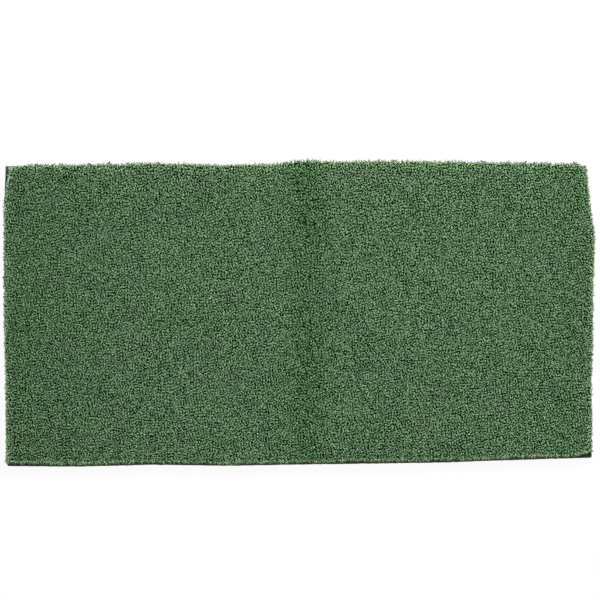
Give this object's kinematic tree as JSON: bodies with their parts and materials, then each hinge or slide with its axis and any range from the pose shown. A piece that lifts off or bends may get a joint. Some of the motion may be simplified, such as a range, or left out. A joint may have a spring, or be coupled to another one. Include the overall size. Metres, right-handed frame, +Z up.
{
  "type": "golf hitting mat",
  "caption": "Flat rectangular hitting mat of curly green turf on a thin foam pad, which folds in half along a crease near its middle.",
  "frame": {"origin": "on the floor, under the middle of the mat", "axes": "+X along the mat's length to the right, +Y to its far edge, +Z up out of the pile"},
  "size_m": [0.61, 0.305, 0.025],
  "materials": {
    "foam": "matt closed-cell foam",
    "glue": "cured contact glue",
    "latex": "dull dried latex",
    "backing": "woven flat tape",
    "turf": "matt crimped yarn"
  },
  "bodies": {
    "left_half": {"foam_pad_left": "foam", "glue_film_left": "glue", "latex_coat_left": "latex", "primary_backing_left": "backing", "tuft_strip_left_01": "turf", "tuft_strip_left_02": "turf", "tuft_strip_left_03": "turf", "tuft_strip_left_04": "turf", "tuft_strip_left_05": "turf", "tuft_strip_left_06": "turf", "tuft_strip_left_07": "turf", "tuft_strip_left_08": "turf", "tuft_strip_left_09": "turf", "tuft_strip_left_10": "turf", "tuft_strip_left_11": "turf", "tuft_strip_left_12": "turf", "tuft_strip_left_13": "turf"},
    "right_half": {"foam_pad_right": "foam", "glue_film_right": "glue", "latex_coat_right": "latex", "primary_backing_right": "backing", "tuft_strip_right_01": "turf", "tuft_strip_right_02": "turf", "tuft_strip_right_03": "turf", "tuft_strip_right_04": "turf", "tuft_strip_right_05": "turf", "tuft_strip_right_06": "turf", "tuft_strip_right_07": "turf", "tuft_strip_right_08": "turf", "tuft_strip_right_09": "turf", "tuft_strip_right_10": "turf", "tuft_strip_right_11": "turf", "tuft_strip_right_12": "turf", "tuft_strip_right_13": "turf"}
  },
  "joints": [
    {"name": "mid_fold", "type": "hinge", "parent": "left_half", "child": "right_half", "pos_m": [0.01, 0, 0.02515], "axis": [0, -1, 0], "range_deg": [0, 178]}
  ]
}
